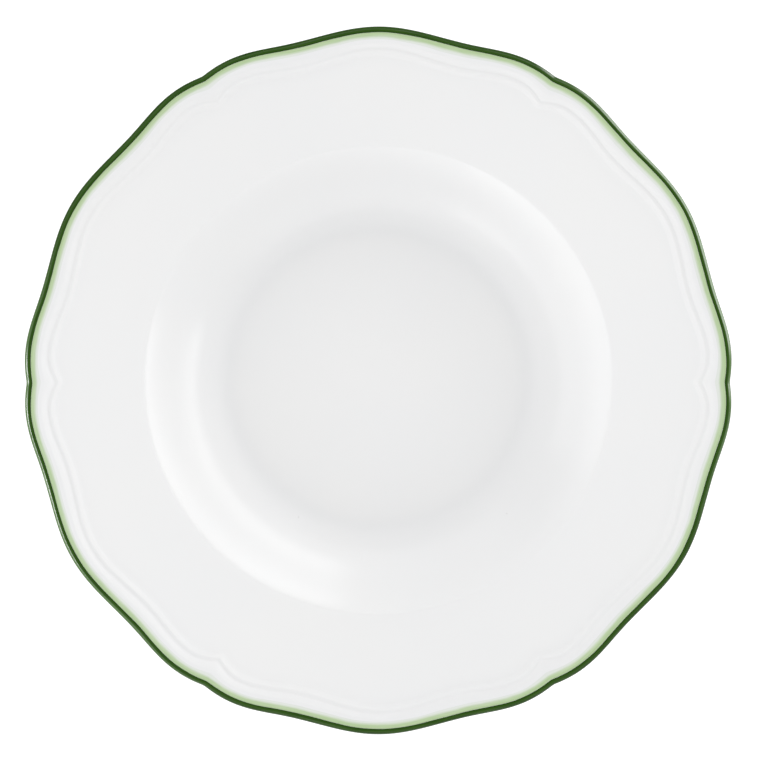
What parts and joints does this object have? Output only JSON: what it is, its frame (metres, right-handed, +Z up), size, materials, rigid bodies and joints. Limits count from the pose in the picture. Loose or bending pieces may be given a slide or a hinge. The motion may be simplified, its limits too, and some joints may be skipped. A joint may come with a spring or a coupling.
{
  "type": "deep rim plate",
  "caption": "Round deep-rimmed china plate with a scalloped edge, a moulded rib, a sloping well and green enamel edge bands, for serving food.",
  "frame": {"origin": "centre of the foot ring's bearing face, on the surface that the plate stands on", "axes": "+Z up through the middle of the well, +X through a notch of the scalloped edge, +Y through the crest of a lobe"},
  "size_m": [0.2392, 0.2402, 0.0376],
  "materials": {
    "biscuit_porcelain": "matte",
    "white_glaze": "polished",
    "dark_green_enamel": "gloss",
    "light_green_enamel": "gloss"
  },
  "bodies": {
    "root": {"porcelain_body": "biscuit_porcelain", "glaze_coat": "white_glaze", "foot_recess_glaze": "white_glaze", "dark_green_edge_band": "dark_green_enamel", "light_green_inner_band": "light_green_enamel"}
  },
  "joints": []
}
